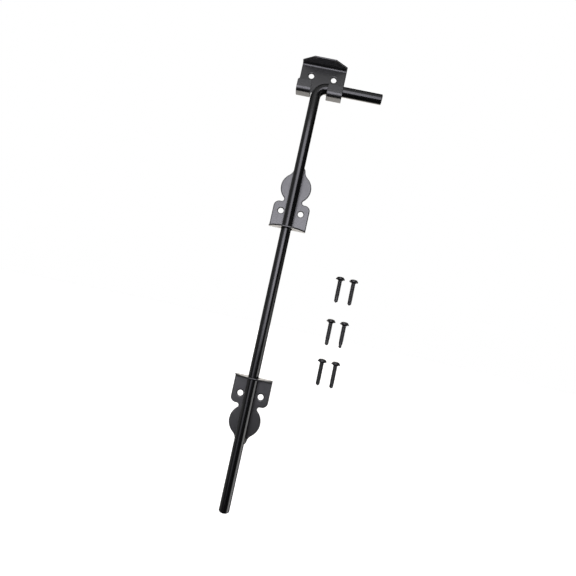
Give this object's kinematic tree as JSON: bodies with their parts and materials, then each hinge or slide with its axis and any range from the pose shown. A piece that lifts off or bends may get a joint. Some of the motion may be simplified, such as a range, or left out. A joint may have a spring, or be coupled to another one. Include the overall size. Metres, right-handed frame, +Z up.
{
  "type": "cane bolt",
  "caption": "Bent round-bar gate drop bolt with a folded sheet keeper bracket, matching flanged guide brackets and self-drilling screws.",
  "frame": {"origin": "back face of the keeper bracket, midway between its two screw holes; the plane y = 0 is the gate's face", "axes": "+Z up along the round bar, +X the way the handle points, +Y into the gate"},
  "size_m": [0.1263, 0.0202, 0.5651],
  "materials": {
    "rod_black": "gloss black powder coat on steel bar",
    "bracket_black": "gloss black powder coat on folded steel sheet",
    "screw_black": "black coated steel"
  },
  "bodies": {
    "guides": {"upper_guide": "bracket_black", "lower_guide": "bracket_black", "screw_1": "screw_black", "screw_2": "screw_black", "screw_3": "screw_black", "screw_4": "screw_black", "screw_5": "screw_black", "screw_6": "screw_black"},
    "bar": {"cane_rod": "rod_black"},
    "keeper": {"keeper_bracket": "bracket_black"}
  },
  "joints": [
    {"name": "bolt_slide", "type": "slide", "parent": "guides", "child": "bar", "axis": [0, 0, 1], "range_m": [-0.062, 0.12]},
    {"name": "keeper_slide", "type": "slide", "parent": "bar", "child": "keeper", "axis": [0, 0, 1], "range_m": [-0.023, 0.003]}
  ]
}
